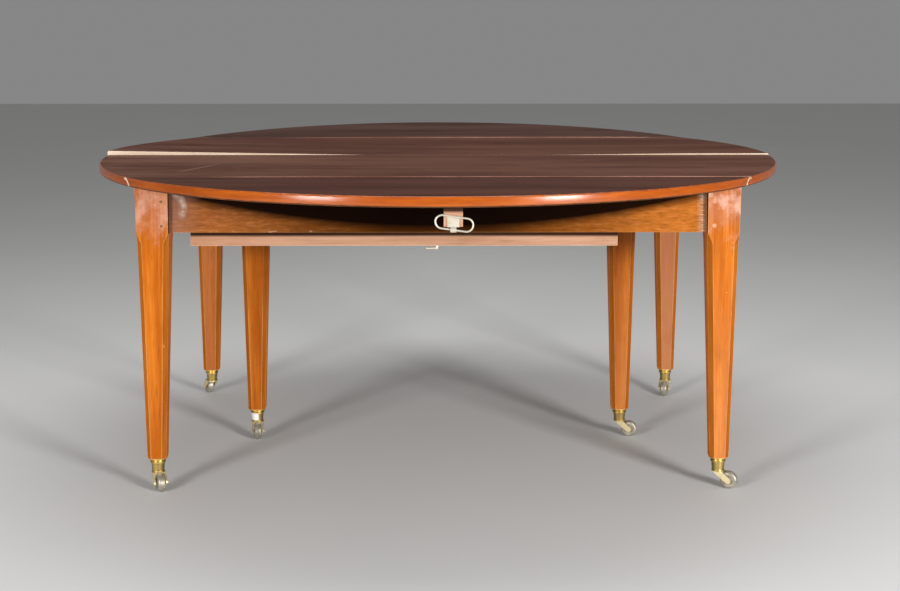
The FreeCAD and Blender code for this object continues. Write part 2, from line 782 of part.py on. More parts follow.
def make_casters():
    for row in ("front", "middle", "rear"):
        sockets = []
        for side in ("left", "right"):
            leg = f"{row}_{side}"
            x, y = LEG_PLACES[leg]
            angle = CASTER_TURNS[leg]
            turn = Rotation(Vector(0, 0, 1), angle)
            sockets.append(make_socket(f"{leg}_socket", x, y))
            make_fork(leg, x, y, turn)
            make_wheel(leg, x, y, turn, angle)
        node(group(f"{row}_socket_pair", *sockets), f"{row}_caster_sockets")


def write_nodes():
    """Checks every object and writes each piece to its own file."""
    doc.recompute()
    faults = [item.Label for item in doc.Objects if {"Invalid", "Error"} & set(item.State)]
    faults += [piece.Label for piece in nodes if piece.Shape.isNull() or not piece.Shape.isValid()]
    if faults:
        raise RuntimeError(f"these pieces failed: {faults}")
    os.makedirs("parts", exist_ok=True)
    for piece in nodes:
        piece.Shape.exportStep(f"parts/{piece.Label}.step")
    print(len(nodes), "pieces written")


whole_disc = make_disc()
for half_name, side_names, is_turned in HALVES:
    make_top(half_name, whole_disc, is_turned)
    make_frame(half_name, side_names, is_turned)
    make_loper(half_name, is_turned)
    make_hinges(half_name, is_turned)
    make_ring(half_name, is_turned)
make_split_pegs()
make_middle_frame()
make_rails()
make_tie_board()
make_casters()
write_nodes()
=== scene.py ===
import json
import math

import bmesh
import bpy
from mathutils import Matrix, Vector


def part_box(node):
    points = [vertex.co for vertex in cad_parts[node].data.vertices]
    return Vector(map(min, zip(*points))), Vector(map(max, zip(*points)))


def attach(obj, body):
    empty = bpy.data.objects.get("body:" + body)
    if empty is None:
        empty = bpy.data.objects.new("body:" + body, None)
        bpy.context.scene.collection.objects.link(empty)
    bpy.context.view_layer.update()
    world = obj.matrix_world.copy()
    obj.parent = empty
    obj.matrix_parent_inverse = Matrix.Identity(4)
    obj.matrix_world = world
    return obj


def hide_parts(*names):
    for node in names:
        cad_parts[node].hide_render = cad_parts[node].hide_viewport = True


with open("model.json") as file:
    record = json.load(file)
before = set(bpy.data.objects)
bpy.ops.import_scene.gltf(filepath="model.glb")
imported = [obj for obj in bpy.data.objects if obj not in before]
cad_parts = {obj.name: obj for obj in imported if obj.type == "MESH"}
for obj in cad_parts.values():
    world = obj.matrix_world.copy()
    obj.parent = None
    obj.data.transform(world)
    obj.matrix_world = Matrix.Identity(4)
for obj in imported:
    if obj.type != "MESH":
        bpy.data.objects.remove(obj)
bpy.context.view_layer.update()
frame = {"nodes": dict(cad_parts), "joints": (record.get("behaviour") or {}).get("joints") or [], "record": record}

nodes = frame["nodes"]

# Places of the table in metres, from the frame
panel_low, panel_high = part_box("front_top_panel")
apron_low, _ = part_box("front_apron")
_, side_apron_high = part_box("front_right_side_apron")
leaf_hinge = next(joint for joint in frame["joints"] if joint["name"] == "front_leaf_hinge")
_, hinge_y, PIN_HEIGHT = leaf_hinge["pos_m"]
HINGE_LINE = -hinge_y
UNDER, TOP = panel_low.z, panel_high.z
RIM = panel_high.x
APRON_LOW = apron_low.z
APRON_FACE = -apron_low.y
SIDE_FACE = side_apron_high.x

# Sizes of the rim and the rule joints in metres, and how much the rim bulges, as a slope
RIM_ROUND = 0.0035
RULE_RADIUS = 0.0202
RIM_CROWN = 0.13

# Widths of worn edges and depths of pores and scuffs, in metres
LEG_EDGE_WIDTH, BOARD_EDGE_WIDTH, METAL_EDGE_WIDTH = 0.0028, 0.002, 0.0012
FINE_PORES, OPEN_PORES, METAL_SCUFFS = 0.0003, 0.0005, 0.0002

# Sockets of a Mix node that mixes colours
MIX_SHARE, MIX_FIRST, MIX_SECOND, MIX_RESULT = 0, 6, 7, 2


class Paint:
    """A procedural material, with short ways to add nodes to it."""

    def __init__(self, name):
        self.material = bpy.data.materials.new(name)
        self.material.use_nodes = True
        self.tree = self.material.node_tree
        self.shader = self.tree.nodes["Principled BSDF"]
        coordinates = self.add("ShaderNodeTexCoord").outputs
        self.place, self.normal = coordinates["Object"], coordinates["Normal"]
        self.x, self.y, self.z = self.parts(self.place)

    def add(self, kind, inputs=None, **settings):
        made = self.tree.nodes.new(kind)
        for key, setting in settings.items():
            setattr(made, key, setting)
        for key, value in (inputs or {}).items():
            self.feed(made, key, value)
        return made

    def feed(self, target, key, value):
        if isinstance(value, bpy.types.NodeSocket):
            self.tree.links.new(value, target.inputs[key])
        elif isinstance(value, tuple) and len(value) == 3 and target.inputs[key].type == "RGBA":
            target.inputs[key].default_value = (*value, 1)
        else:
            target.inputs[key].default_value = value

    def surface(self, **inputs):
        for key, value in inputs.items():
            self.feed(self.shader, key.replace("_", " "), value)

    def parts(self, vector):
        """The x, y and z of a vector."""
        return self.add("ShaderNodeSeparateXYZ", {"Vector": vector}).outputs

    def noise(self, scale, detail=4, stretch=(1, 1, 1), roughness=0.55, distortion=0.0, offset=(0, 0, 0)):
        mapping = self.add("ShaderNodeMapping", {"Vector": self.place, "Scale": stretch, "Location": offset})
        made = self.add("ShaderNodeTexNoise", {
            "Vector": mapping.outputs[0], "Scale": scale, "Detail": detail, "Roughness": roughness,
            "Distortion": distortion})
        return made.outputs["Fac"]

    def span(self, value, low, high, start=0.0, end=1.0):
        """Value from low to high becomes start to end, held at both ends."""
        made = self.add("ShaderNodeMapRange", {
            "Value": value, "From Min": low, "From Max": high, "To Min": start, "To Max": end})
        return made.outputs[0]

    def work_out(self, operation, first, second=0.0):
        """One step of arithmetic."""
        return self.add("ShaderNodeMath", {0: first, 1: second}, operation=operation).outputs[0]

    def times(self, first, *others):
        for other in others:
            first = self.work_out("MULTIPLY", first, other)
        return first

    def plus(self, first, second):
        return self.work_out("ADD", first, second)

    def minus(self, first, second):
        return self.work_out("SUBTRACT", first, second)

    def larger(self, first, second):
        return self.work_out("MAXIMUM", first, second)

    def size(self, value):
        """The value without its sign."""
        return self.work_out("ABSOLUTE", value)

    def away(self, value, place):
        """How far a value is from a place, on either side."""
        return self.size(self.minus(value, place))

    def reach(self, first, second):
        """How far a place with these two coordinates is from nought."""
        return self.work_out("SQRT", self.plus(self.times(first, first), self.times(second, second)))

    def mix(self, share, first, second, blend="MIX"):
        inputs = {MIX_SHARE: share, MIX_FIRST: first, MIX_SECOND: second}
        return self.add("ShaderNodeMix", inputs, data_type="RGBA", blend_type=blend).outputs[MIX_RESULT]

    def bump(self, height, strength, distance):
        made = self.add("ShaderNodeBump", {"Height": height, "Strength": strength, "Distance": distance})
        self.surface(Normal=made.outputs[0])

    def edges(self, radius, sharp=0.86):
        """One on sharp edges, nought on flat faces."""
        soft = self.add("ShaderNodeBevel", {"Radius": radius}, samples=6).outputs[0]
        plain = self.add("ShaderNodeNewGeometry").outputs["Normal"]
        likeness = self.add("ShaderNodeVectorMath", {0: soft, 1: plain}, operation="DOT_PRODUCT")
        return self.span(likeness.outputs["Value"], 0.995, sharp)


def stretched(grain, along, across):
    """Scale of a texture drawn out along the grain's axis."""
    return tuple(along if axis == grain else across for axis in "xyz")


def grained(paint, grain, tones, figure_scale=3.0):
    """Colour and pores of a board in dark, middle and light tones, whose grain runs along one axis."""
    dark, middle, light = tones
    figure = paint.noise(figure_scale, 5, stretched(grain, 0.35, 3.0), 0.6, 0.8)
    streaks = paint.noise(26, 6, stretched(grain, 0.12, 3.2), 0.65, 0.2)
    pores = paint.span(paint.noise(150, 2, stretched(grain, 0.07, 3.0), 0.5), 0.60, 0.74)
    body = paint.mix(paint.span(figure, 0.32, 0.70), dark, middle)
    body = paint.mix(paint.span(streaks, 0.42, 0.72, 0.0, 0.75), body, light)
    body = paint.mix(paint.times(pores, 0.55), body, tuple(part * 0.4 for part in dark))
    return body, pores


# Top: tones and marks in linear red, green and blue, places in metres
TOP_WOOD = ((0.060, 0.0200, 0.0115), (0.108, 0.0420, 0.0270), (0.150, 0.066, 0.044))
JOINT_WOOD = ((0.120, 0.048, 0.024), (0.190, 0.082, 0.044), (0.26, 0.125, 0.070))
# Bare wood of the downward faces, darkened partly as painted shade under the rim
UNDERSIDE_WOOD_AND_SHADE = ((0.060, 0.024, 0.011), (0.095, 0.040, 0.018), (0.130, 0.060, 0.029))
FRONT_PANEL_TINT, REAR_PANEL_TINT = (1.10, 1.00, 0.93), (0.90, 0.76, 0.68)
FRONT_LEAF_TINT, REAR_LEAF_TINT = (0.73, 0.60, 0.56), (0.64, 0.64, 0.66)
DUST = (0.24, 0.165, 0.130)
TOP_BLOOM = (0.29, 0.205, 0.165)
HAIRLINE = (0.36, 0.27, 0.23)
SPECK = (0.55, 0.48, 0.44)
BAND = (0.185, 0.092, 0.066)
SCRATCH = (0.31, 0.23, 0.19)
RIM_DARK, RIM_LIGHT = (0.29, 0.054, 0.002), (0.43, 0.092, 0.004)
RIM_STAIN = (0.26, 0.040, 0.003)
RIM_END = (0.24, 0.040, 0.002)
RULE_END = (0.82, 0.62, 0.42)
SAWN_DARK, SAWN_LIGHT = (0.64, 0.48, 0.35), (0.76, 0.61, 0.48)
SHOULDER_DARK, SHOULDER_RUBBED = (0.20, 0.078, 0.052), (0.54, 0.29, 0.21)
BLOOM_FROM, BLOOM_TO = -0.25, -0.75
SCRATCH_START, SCRATCH_END, SCRATCH_WIDTH = (-0.61, -0.38), (-0.53, -0.20), 0.006
RIM_END_FROM, RIM_END_TO = 0.45, 0.75
CHIPPED_FROM, WHOLE_FROM = 0.1, -0.1
RULE_END_FROM, RULE_END_TO = RIM - 0.006, RIM - 0.004
CURVE_OFF, CURVE_ON = 0.0030, 0.0016
BEFORE_PIN, BEYOND_PIN = -0.003, -0.001
SPLIT_OFF, SPLIT_ON = 0.004, 0.002
SHOULDER_OFF, SHOULDER_ON = 0.0020, 0.0012
SPLIT_BLUR, HINGE_BLUR = 0.001, 0.0005


def joint_curve(paint):
    """One on the round and the hollow of each rule joint."""
    across = paint.minus(paint.size(paint.y), HINGE_LINE)
    up = paint.minus(paint.z, PIN_HEIGHT)
    arc = paint.span(paint.away(paint.reach(across, up), RULE_RADIUS), CURVE_OFF, CURVE_ON)
    beyond = paint.span(across, BEFORE_PIN, BEYOND_PIN)
    return paint.times(arc, beyond)


def raw_edges(paint, facing_y):
    """One on the sawn faces along the split, and one on the shoulders of the rule joints."""
    square = paint.span(paint.size(facing_y), 0.90, 0.97)
    along = paint.size(paint.y)
    split = paint.span(along, SPLIT_OFF, SPLIT_ON)
    shoulder = paint.span(paint.away(along, HINGE_LINE), SHOULDER_OFF, SHOULDER_ON)
    return paint.times(square, split), paint.times(square, shoulder)


def scratch(paint, start, end, width):
    """Along a straight scratch between two places on the top, strongest half way."""
    length = math.dist(start, end)
    along_x, along_y = (end[0] - start[0]) / length, (end[1] - start[1]) / length
    x = paint.minus(paint.x, start[0])
    y = paint.minus(paint.y, start[1])
    aside = paint.minus(paint.times(x, along_y), paint.times(y, along_x))
    along = paint.plus(paint.times(x, along_x), paint.times(y, along_y))
    line = paint.span(paint.size(aside), width, 0.0)
    return paint.times(line, paint.span(paint.away(along, length / 2), length / 2, length / 4, 0.0, 0.6))


def section_tint(paint):
    """The tone of each of the four sections of the top, against the others."""
    behind = paint.span(paint.y, -SPLIT_BLUR, SPLIT_BLUR)
    panels = paint.mix(behind, FRONT_PANEL_TINT, REAR_PANEL_TINT)
    leaves = paint.mix(behind, FRONT_LEAF_TINT, REAR_LEAF_TINT)
    beyond = paint.span(paint.size(paint.y), HINGE_LINE - HINGE_BLUR, HINGE_LINE + HINGE_BLUR)
    return paint.mix(beyond, panels, leaves)


def top_face(paint):
    """Colour of the polished face, with its pores and its dust."""
    body, pores = grained(paint, "x", TOP_WOOD)
    dust = paint.noise(5, 7, (0.7, 2.2, 1), 0.7, 0.4)
    body = paint.mix(paint.span(dust, 0.42, 0.78, 0.0, 0.22), body, DUST)
    bloom = paint.times(paint.span(paint.x, BLOOM_FROM, BLOOM_TO), paint.span(dust, 0.47, 0.64, 0.0, 0.26))
    body = paint.mix(bloom, body, TOP_BLOOM)
    hairlines = paint.noise(34, 3, (0.05, 4.5, 1), 0.5, 0.0, (0.3, 0.1, 0))
    body = paint.mix(paint.span(hairlines, 0.68, 0.73, 0.0, 0.35), body, HAIRLINE)
    specks = paint.noise(210, 1, (1, 1, 1), 0.5, 0.0, (5, 3, 0))
    body = paint.mix(paint.span(specks, 0.77, 0.80, 0.0, 0.6), body, SPECK)
    bands = paint.noise(4, 4, (0.25, 2.0, 1), 0.6, 0.3, (1, 4, 0))
    body = paint.mix(paint.span(bands, 0.44, 0.62, 0.0, 0.55), body, BAND)
    body = paint.mix(scratch(paint, SCRATCH_START, SCRATCH_END, SCRATCH_WIDTH), body, SCRATCH)
    return paint.mix(1.0, body, section_tint(paint), "MULTIPLY"), pores, dust


def top_edge(paint, radius, facing_y):
    """Colour of the varnished rim, of the rule joints and of the sawn edges."""
    fibres = paint.noise(40, 5, (0.25, 0.25, 2.5), 0.6, 0.2)
    body = paint.mix(paint.span(fibres, 0.35, 0.70), RIM_DARK, RIM_LIGHT)
    stain = paint.noise(6, 5, (1, 1, 1.5), 0.6, 0.4)
    body = paint.mix(paint.span(stain, 0.54, 0.74, 0.0, 0.30), body, RIM_STAIN)
    body = paint.mix(paint.span(paint.size(paint.x), RIM_END_FROM, RIM_END_TO, 0.0, 0.45), body, RIM_END)

    curve = joint_curve(paint)
    joint_wood, _ = grained(paint, "x", JOINT_WOOD)
    body = paint.mix(curve, body, joint_wood)
    chips = paint.span(paint.noise(110, 3, (1, 1, 1), 0.6, 0.0, (4, 2, 6)), 0.42, 0.52)
    chipped = paint.larger(chips, paint.span(paint.x, CHIPPED_FROM, WHOLE_FROM))
    at_rim = paint.times(chipped, paint.span(radius, RULE_END_FROM, RULE_END_TO))
    body = paint.mix(paint.times(curve, at_rim), body, RULE_END)

    split, shoulder = raw_edges(paint, facing_y)
    body = paint.mix(split, body, paint.mix(paint.span(fibres, 0.3, 0.7), SAWN_DARK, SAWN_LIGHT))
    rubbed = paint.span(paint.noise(3, 4, (1, 0, 0), 0.6, 0.0, (2.3, 0, 0)), 0.38, 0.62)
    return paint.mix(shoulder, body, paint.mix(rubbed, SHOULDER_DARK, SHOULDER_RUBBED))


def top_paint(name):
    """Dark polished top, dusty and scratched, with an orange rim and pale raw wood at the joints."""
    paint = Paint(name)
    face, pores, dust = top_face(paint)
    _, facing_y, upright = paint.parts(paint.normal)
    radius = paint.reach(paint.x, paint.y)
    rim = paint.larger(paint.span(radius, RIM - RIM_ROUND, RIM - RIM_ROUND * 0.8),
                       paint.span(paint.size(upright), 0.95, 0.60))
    below = paint.span(upright, -0.05, -0.45)
    colour = paint.mix(rim, face, top_edge(paint, radius, facing_y))
    # Downward faces: dark bare wood, its own colour and partly painted shade under the rim
    underside, _ = grained(paint, "x", UNDERSIDE_WOOD_AND_SHADE)
    colour = paint.mix(below, colour, underside)
    rough = paint.minus(paint.span(dust, 0.3, 0.8, 0.40, 0.58), paint.times(rim, 0.24))
    rough = paint.plus(rough, paint.times(below, 0.2))
    varnished = paint.times(paint.minus(rim, below), 0.8)
    paint.surface(Base_Color=colour, Roughness=rough, Specular_IOR_Level=0.02)
    paint.surface(Coat_Weight=varnished, Coat_Roughness=0.20)
    paint.bump(pores, 0.10, FINE_PORES)
    return paint


# Legs: tones, marks, painted sheen and painted shade, places in metres
LEG_WOOD = ((0.30, 0.062, 0.003), (0.47, 0.118, 0.005), (0.60, 0.185, 0.018))
BLOCK_WOOD = ((0.30, 0.085, 0.030), (0.46, 0.155, 0.062), (0.56, 0.23, 0.12))
CHAMFER = (0.27, 0.080, 0.004)
# Painted sheen on the front and back faces of the legs, stronger on the rear legs
PAINTED_SHEEN = (0.74, 0.32, 0.130)
REAR_PAINTED_SHEEN = (0.32, 0.145, 0.085)
LEG_GRIME = (0.17, 0.040, 0.008)
BLOCK_BLOOM = (0.78, 0.52, 0.42)
LEG_NICK = (0.80, 0.52, 0.26)
# Pale leg edges: partly wear, partly painted highlight
LEG_EDGE_WEAR_AND_HIGHLIGHT = (0.84, 0.44, 0.15)
# Painted shade where the legs meet the aprons, and on the tops of the middle legs
CORNER_SHADE = (0.012, 0.005, 0.003)
MIDDLE_LEG_TOP_SHADE = (0.050, 0.015, 0.004)
SHEEN_LEFT, SHEEN_RIGHT = -0.5, 0.6
SHEEN_NONE, SHEEN_FULL = 0.50, 0.15
REAR_LEGS_FROM, REAR_LEGS_TO = 0.15, 0.35
OUTER_LEGS, MIDDLE_LEGS = 0.56, 0.54
LEG_SHADE_FROM, LEG_SHADE_TO = 0.46, 0.52
BLOCK_FROM, BLOCK_TO = APRON_LOW - 0.015, APRON_LOW + 0.030
BLOCK_BLOOM_FROM, BLOCK_BLOOM_TO = APRON_LOW - 0.010, APRON_LOW + 0.040
BLOCK_BLOOM_LEFT, BLOCK_BLOOM_RIGHT = -0.4, 0.4
BLOCK_WAVER = 0.03
CORNER_FROM, CORNER_TO = APRON_LOW - 0.002, APRON_LOW


def leg_faces(paint, colour, facing_x, facing_y):
    """A leg's colour with browner chamfers and a painted sheen on the front and back, most at the right and the
    rear.
    """
    aside, ahead = paint.size(facing_x), paint.size(facing_y)
    chamfers = paint.times(paint.span(aside, 0.45, 0.60), paint.span(ahead, 0.45, 0.60, 0.0, 0.40))
    colour = paint.mix(chamfers, colour, CHAMFER)
    face = paint.span(ahead, 0.90, 0.97)
    # Painted sheen: front and back faces lightened as if lit, most low down and at the right
    painted_sheen = paint.times(face, paint.span(paint.z, SHEEN_NONE, SHEEN_FULL, 0.1, 1.0),
                       paint.span(paint.x, SHEEN_LEFT, SHEEN_RIGHT, 0.02, 0.28))
    colour = paint.mix(painted_sheen, colour, PAINTED_SHEEN)
    rear = paint.times(face, paint.span(paint.y, REAR_LEGS_FROM, REAR_LEGS_TO),
                       paint.span(paint.x, SHEEN_LEFT, SHEEN_RIGHT, 0.28, 0.55))
    return paint.mix(rear, colour, REAR_PAINTED_SHEEN)


def leg_painted_shade(paint, colour, facing_x):
    """A leg's colour with painted shade beside the aprons and on the tops of the middle legs."""
    inward = paint.times(facing_x, paint.work_out("SIGN", paint.x))
    # Painted shade on the inner faces of the leg blocks, beside the apron
    corner_shade = paint.times(paint.span(inward, -0.8, -0.95), paint.span(paint.z, CORNER_FROM, CORNER_TO))
    colour = paint.mix(paint.times(corner_shade, 0.92), colour, CORNER_SHADE)
    # Painted shade on the tops of the middle legs, under the frame
    painted_top_shade = paint.times(paint.span(paint.size(paint.x), OUTER_LEGS, MIDDLE_LEGS),
                           paint.span(paint.z, LEG_SHADE_FROM, LEG_SHADE_TO, 0.0, 0.6))
    return paint.mix(painted_top_shade, colour, MIDDLE_LEG_TOP_SHADE)


def leg_paint(name):
    """Orange-brown polished leg with upright grain, a duller pinkish block and pale edges, worn and painted as
    highlights.
    """
    paint = Paint(name)
    body, pores = grained(paint, "z", LEG_WOOD, 4.0)
    block, _ = grained(paint, "z", BLOCK_WOOD, 5.0)
    grime = paint.noise(9, 6, (1, 1, 0.5), 0.65, 0.5)
    bloom = paint.noise(26, 5, (1, 1, 0.8), 0.6, 0.0, (3, 1, 2))
    height = paint.plus(paint.z, paint.span(bloom, 0.3, 0.7, -BLOCK_WAVER, BLOCK_WAVER))
    colour = paint.mix(paint.span(height, BLOCK_FROM, BLOCK_TO, 0.0, 0.75), body, block)
    facing_x, facing_y, _ = paint.parts(paint.normal)
    colour = leg_faces(paint, colour, facing_x, facing_y)
    colour = paint.mix(paint.span(grime, 0.52, 0.78, 0.0, 0.40), colour, LEG_GRIME)
    block_bloom = paint.times(paint.span(bloom, 0.46, 0.70, 0.0, 0.60),
                              paint.span(height, BLOCK_BLOOM_FROM, BLOCK_BLOOM_TO),
                              paint.span(paint.x, BLOCK_BLOOM_LEFT, BLOCK_BLOOM_RIGHT, 0.6, 1.2))
    colour = paint.mix(block_bloom, colour, BLOCK_BLOOM)
    nicks = paint.noise(120, 2, (1, 1, 0.6), 0.5, 0.0, (1, 7, 4))
    colour = paint.mix(paint.span(nicks, 0.76, 0.80, 0.0, 0.4), colour, LEG_NICK)
    # Pale edges: wear, and a painted highlight along the edges
    worn = paint.times(paint.edges(LEG_EDGE_WIDTH, 0.93), paint.span(grime, 0.35, 0.6, 0.85, 0.25))
    colour = paint.mix(worn, colour, LEG_EDGE_WEAR_AND_HIGHLIGHT)
    colour = leg_painted_shade(paint, colour, facing_x)
    rough = paint.span(grime, 0.3, 0.75, 0.26, 0.46)
    paint.surface(Base_Color=colour, Roughness=rough, Specular_IOR_Level=0.0)
    paint.surface(Coat_Weight=paint.span(grime, 0.3, 0.7, 0.22, 0.08), Coat_Roughness=0.14)
    paint.bump(pores, 0.12, FINE_PORES)
    return paint


# Aprons: tones, marks and painted shade, places in metres
APRON_WOOD = ((0.088, 0.025, 0.005), (0.200, 0.058, 0.010), (0.36, 0.125, 0.020))
GOLDEN = (0.58, 0.175, 0.022)
FLECK_DARK, FLECK_LIGHT = (0.12, 0.036, 0.008), (0.54, 0.22, 0.085)
LEFT_TINT = (0.32, 0.12, 0.070)
# Painted shade that darkens the middle of the front apron
APRON_MIDDLE_SHADE = (0.036, 0.010, 0.001)
APRON_GRIME = (0.05, 0.016, 0.007)
APRON_SHADE = (0.003, 0.001, 0.0005)
APRON_EDGE = (0.58, 0.27, 0.09)
DULL_END = (0.26, 0.125, 0.090)
SCUFF = (0.55, 0.46, 0.40)
TICK = (0.62, 0.50, 0.40)
APRON_NICK = (0.64, 0.46, 0.34)
GOLDEN_LEFT, GOLDEN_RIGHT = -0.5, 0.6
LEFT_TINT_FROM, LEFT_TINT_TO = -0.15, -0.50
MIDDLE_SHADE_FROM, MIDDLE_SHADE_TO = 0.50, 0.12
DULL_FROM, DULL_TO = -0.54, -0.61
SCUFF_X, SCUFF_Z, SCUFF_RADIUS, SCUFF_WIDTH = -0.620, 0.660, 0.037, 0.011
TICKS_FROM, TICKS_TO = 0.592, 0.606
NICKS_FROM, NICKS_TO = -0.15, -0.30
NICKS_ABOVE, NICKS_BELOW = APRON_LOW + 0.005, APRON_LOW + 0.002
SHADE_SLOPE, SHADE_BEND = 0.165, 0.222
SHADE_FROM, SHADE_TO = -0.008, 0.012
SIDE_GOLDEN, SIDE_SHADE = 0.45, 0.8


def shaded(paint, along, face):
    """Towards one on the part of an apron that the round top keeps from the light."""
    rim = paint.work_out("SQRT", paint.minus(RIM * RIM, paint.times(along, along)))
    overhang = paint.minus(rim, face)
    depth = paint.times(overhang, paint.plus(paint.times(overhang, SHADE_BEND), SHADE_SLOPE))
    shade_line = paint.minus(UNDER, depth)
    return paint.span(paint.minus(paint.z, shade_line), SHADE_FROM, SHADE_TO, 0.0, 0.98)


def grimy(paint, colour):
    """An apron's colour with grime on it, and the grime."""
    grime = paint.noise(7, 6, (1, 1, 2.0), 0.65, 0.5)
    return paint.mix(paint.span(grime, 0.50, 0.75, 0.0, 0.5), colour, APRON_GRIME), grime


def worn_apron(paint, colour):
    """An apron's colour with pale worn edges."""
    return paint.mix(paint.times(paint.edges(BOARD_EDGE_WIDTH), 0.5), colour, APRON_EDGE)


def apron_surface(paint, colour, grime, pores):
    """The finish that all aprons share."""
    rough = paint.span(grime, 0.3, 0.75, 0.34, 0.54)
    paint.surface(Base_Color=colour, Roughness=rough, Specular_IOR_Level=0.01)
    paint.bump(pores, 0.16, OPEN_PORES)


def side_apron_paint(name):
    """Brown apron with long grain, plainer than the long aprons, with a painted shadow under the top."""
    paint = Paint(name)
    body, pores = grained(paint, "y", APRON_WOOD, 4.0)
    colour, grime = grimy(paint, paint.mix(SIDE_GOLDEN, body, GOLDEN))
    colour = paint.mix(paint.times(shaded(paint, paint.y, SIDE_FACE), SIDE_SHADE), colour, APRON_SHADE)
    apron_surface(paint, worn_apron(paint, colour), grime, pores)
    return paint


def scuff_arc(paint):
    """One along part of a ring rubbed on the front of an apron."""
    across = paint.minus(paint.x, SCUFF_X)
    up = paint.minus(paint.z, SCUFF_Z)
    band = paint.span(paint.away(paint.reach(across, up), SCUFF_RADIUS), SCUFF_WIDTH, 0.0)
    return paint.times(band, paint.span(paint.plus(across, up), 0.0, SCUFF_RADIUS * 0.6))


def flecked(paint, colour):
    """An apron's colour with short dark and light flecks."""
    flecks = paint.noise(120, 4, (0.30, 1, 1.6), 0.65, 0.3, (6, 0, 2))
    colour = paint.mix(paint.span(flecks, 0.50, 0.66, 0.0, 0.50), colour, FLECK_DARK)
    return paint.mix(paint.span(flecks, 0.47, 0.34, 0.0, 0.34), colour, FLECK_LIGHT)


def apron_ends(paint, colour):
    """An apron's colour with a dull scuffed left end and a pale ticked right end."""
    colour = paint.mix(paint.span(paint.x, DULL_FROM, DULL_TO, 0.0, 0.60), colour, DULL_END)
    smear = paint.span(paint.noise(60, 5, (1, 1, 1), 0.7, 0.4), 0.35, 0.6)
    colour = paint.mix(paint.times(scuff_arc(paint), smear, 0.7), colour, SCUFF)
    ticks = paint.span(paint.noise(170, 2, (0.5, 1, 3.0), 0.5), 0.45, 0.62, 0.1, 0.60)
    return paint.mix(paint.times(paint.span(paint.x, TICKS_FROM, TICKS_TO), ticks), colour, TICK)


def apron_paint(name):
    """Brown apron with long grain, golden streaks, painted shade in the middle and under the top, and worn ends.
    """
    paint = Paint(name)
    body, pores = grained(paint, "x", APRON_WOOD, 4.0)
    colour = paint.mix(paint.span(paint.x, GOLDEN_LEFT, GOLDEN_RIGHT, 0.15, 0.58), body, GOLDEN)
    colour = flecked(paint, colour)
    colour = paint.mix(paint.span(paint.x, LEFT_TINT_FROM, LEFT_TINT_TO, 0.0, 0.12), colour, LEFT_TINT)
    # Painted shade, darkest at the middle of the apron
    middle = paint.span(paint.size(paint.x), MIDDLE_SHADE_FROM, MIDDLE_SHADE_TO, 0.0, 0.92)
    colour, grime = grimy(paint, paint.mix(middle, colour, APRON_MIDDLE_SHADE))
    colour = paint.mix(shaded(paint, paint.x, APRON_FACE), colour, APRON_SHADE)
    colour = worn_apron(paint, apron_ends(paint, colour))
    nicks = paint.times(paint.span(paint.noise(45, 3, (1, 1, 1), 0.6, 0.0, (2, 8, 1)), 0.59, 0.68, 0.0, 0.50),
                        paint.span(paint.x, NICKS_FROM, NICKS_TO),
                        paint.span(paint.z, NICKS_ABOVE, NICKS_BELOW))
    apron_surface(paint, paint.mix(nicks, colour, APRON_NICK), grime, pores)
    return paint


# Bare wood and pegs: tones, marks and painted shade, places in metres
BARE_WOOD = ((0.35, 0.175, 0.10), (0.48, 0.275, 0.172), (0.57, 0.355, 0.24))
BARE_STAIN = (0.26, 0.12, 0.06)
BARE_EDGE = (0.82, 0.60, 0.44)
BARE_LEFT = (0.36, 0.17, 0.090)
# Painted shade behind the front apron and on the tops of the blocks under the leaves
UNDER_PARTS_SHADE = (0.020, 0.006, 0.002)
PEG_DARK, PEG_BROWN = (0.10, 0.034, 0.012), (0.24, 0.095, 0.034)
CHALK_DARK, CHALK_LIGHT = (0.43, 0.180, 0.100), (0.52, 0.27, 0.18)
BARE_LEFT_FROM, BARE_LEFT_TO = 0.30, -0.45
BEHIND_APRON_FROM, BEHIND_APRON_TO = -0.36, -0.38
OUTER_FROM, OUTER_TO = 0.60, 0.62
CHALK_FROM, CHALK_TO = -0.1, 0.1
BOARD_SHADE_FROM, BOARD_SHADE_TO = APRON_LOW - 0.015, APRON_LOW - 0.010
BOARD_SHADE_ABOVE, BOARD_SHADE_BELOW = UNDER - 0.04, UNDER - 0.06
BLOCK_SHADE_FROM, BLOCK_SHADE_TO = UNDER - 0.010, UNDER - 0.005


def painted_shade_under_parts(paint):
    """Towards one where shade is painted: on what is behind the front apron, and on the tops of the blocks under
    the leaves.
    """
    behind_apron = paint.times(paint.span(paint.y, BEHIND_APRON_FROM, BEHIND_APRON_TO),
                               paint.span(paint.z, BOARD_SHADE_FROM, BOARD_SHADE_TO),
                               paint.span(paint.z, BOARD_SHADE_ABOVE, BOARD_SHADE_BELOW, 0.0, 0.97))
    below_leaf = paint.times(paint.span(paint.size(paint.y), OUTER_FROM, OUTER_TO),
                             paint.span(paint.z, BLOCK_SHADE_FROM, BLOCK_SHADE_TO, 0.0, 0.95))
    return behind_apron, below_leaf


